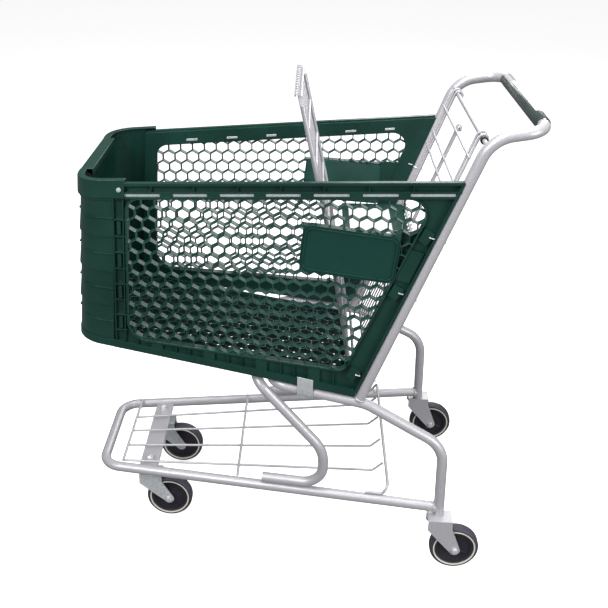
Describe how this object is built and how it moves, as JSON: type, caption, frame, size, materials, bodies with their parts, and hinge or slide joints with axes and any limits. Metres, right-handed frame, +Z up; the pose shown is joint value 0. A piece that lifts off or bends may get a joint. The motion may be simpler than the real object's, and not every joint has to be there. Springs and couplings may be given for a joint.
{
  "type": "shopping cart",
  "caption": "Wheeled shopping cart: bent tube chassis with a lower wire rack, moulded mesh basket, wire rear gate with fold-down child seat, push handle and casters.",
  "frame": {"origin": "on the floor under the centre of the whole cart's outline", "axes": "+X towards the nose, +Y the cart's left side, +Z up"},
  "size_m": [0.9768, 0.5736, 1.1028],
  "materials": {
    "painted_tube": "silver-grey hammertone paint, satin",
    "zinc_plate": "bright zinc plate",
    "green_plastic": "dark green moulded plastic, fine satin",
    "sign_plastic": "dark green plastic, satin",
    "tread": "dark grey polyurethane, satin",
    "wheel_hub": "dark grey plastic with a cream ring",
    "label_card": "blank white card",
    "black_nylon": "black nylon"
  },
  "bodies": {
    "frame": {"base_loop": "painted_tube", "leg_support_loop": "painted_tube", "front_brace_loop": "painted_tube", "handle_loop": "painted_tube", "gate_rod": "painted_tube", "caster_plate": "painted_tube", "lower_rack": "painted_tube", "rack_backstop": "painted_tube", "side_panel_left": "green_plastic", "side_panel_right": "green_plastic", "nose_panel": "green_plastic", "basket_floor": "green_plastic", "corner_cap_left": "green_plastic", "corner_cap_right": "green_plastic", "cap_rivet_left": "zinc_plate", "cap_rivet_right": "zinc_plate", "front_rim_bar": "green_plastic", "rim_strip_left": "zinc_plate", "rim_strip_right": "zinc_plate", "sign_plate_left": "sign_plastic", "sign_plate_right": "sign_plastic", "wire_clip_left_1": "zinc_plate", "wire_clip_left_2": "zinc_plate", "wire_clip_left_3": "zinc_plate", "wire_clip_right_1": "zinc_plate", "wire_clip_right_2": "zinc_plate", "wire_clip_right_3": "zinc_plate", "strap_clip_left": "zinc_plate", "strap_clip_right": "zinc_plate", "handle_grip": "green_plastic", "handle_label_insert": "label_card", "grip_screw_left": "zinc_plate", "grip_screw_right": "zinc_plate", "gate_bushing_left": "black_nylon", "gate_bushing_right": "black_nylon", "rear_left_fork": "painted_tube", "rear_right_fork": "painted_tube", "rear_left_axle_bolt": "zinc_plate", "rear_right_axle_bolt": "zinc_plate", "front_left_kingpin": "zinc_plate", "front_right_kingpin": "zinc_plate", "front_left_race": "zinc_plate", "front_right_race": "zinc_plate"},
    "gate": {"rear_gate": "painted_tube"},
    "seat": {"seat_back": "painted_tube"},
    "flap": {"seat_flap": "green_plastic", "flap_label": "label_card"},
    "front_left_yoke": {"front_left_fork": "zinc_plate", "front_left_axle_bolt": "zinc_plate"},
    "front_right_yoke": {"front_right_fork": "zinc_plate", "front_right_axle_bolt": "zinc_plate"},
    "front_left_wheel": {"front_left_tyre": "tread", "front_left_hub": "wheel_hub"},
    "front_right_wheel": {"front_right_tyre": "tread", "front_right_hub": "wheel_hub"},
    "rear_left_wheel": {"rear_left_tyre": "tread", "rear_left_hub": "wheel_hub"},
    "rear_right_wheel": {"rear_right_tyre": "tread", "rear_right_hub": "wheel_hub"}
  },
  "joints": [
    {"name": "gate_swing", "type": "hinge", "parent": "frame", "child": "gate", "pos_m": [-0.3638, 0, 1.02], "axis": [0, -1, 0], "range_deg": [0, 65]},
    {"name": "seat_back_fold", "type": "hinge", "parent": "gate", "child": "seat", "pos_m": [-0.138, 0, 0.46852], "axis": [0, -1, 0], "range_deg": [0, 20.5]},
    {"name": "seat_flap_fold", "type": "hinge", "parent": "gate", "child": "flap", "pos_m": [-0.25532, 0, 0.76155], "axis": [0, -1, 0], "range_deg": [0, 102.5]},
    {"name": "front_left_swivel", "type": "hinge", "parent": "frame", "child": "front_left_yoke", "pos_m": [0.354, 0.113, 0.1285], "axis": [0, 0, 1], "continuous": true},
    {"name": "front_right_swivel", "type": "hinge", "parent": "frame", "child": "front_right_yoke", "pos_m": [0.354, -0.113, 0.1285], "axis": [0, 0, 1], "continuous": true},
    {"name": "front_left_spin", "type": "hinge", "parent": "front_left_yoke", "child": "front_left_wheel", "pos_m": [0.307, 0.113, 0.057], "axis": [0, 1, 0], "continuous": true},
    {"name": "front_right_spin", "type": "hinge", "parent": "front_right_yoke", "child": "front_right_wheel", "pos_m": [0.307, -0.113, 0.057], "axis": [0, 1, 0], "continuous": true},
    {"name": "rear_left_spin", "type": "hinge", "parent": "frame", "child": "rear_left_wheel", "pos_m": [-0.388, 0.259, 0.057], "axis": [0, 1, 0], "continuous": true},
    {"name": "rear_right_spin", "type": "hinge", "parent": "frame", "child": "rear_right_wheel", "pos_m": [-0.388, -0.259, 0.057], "axis": [0, 1, 0], "continuous": true}
  ],
  "couplings": [
    {"joint": "seat_flap_fold", "follows": "seat_back_fold", "ratio": 5}
  ]
}
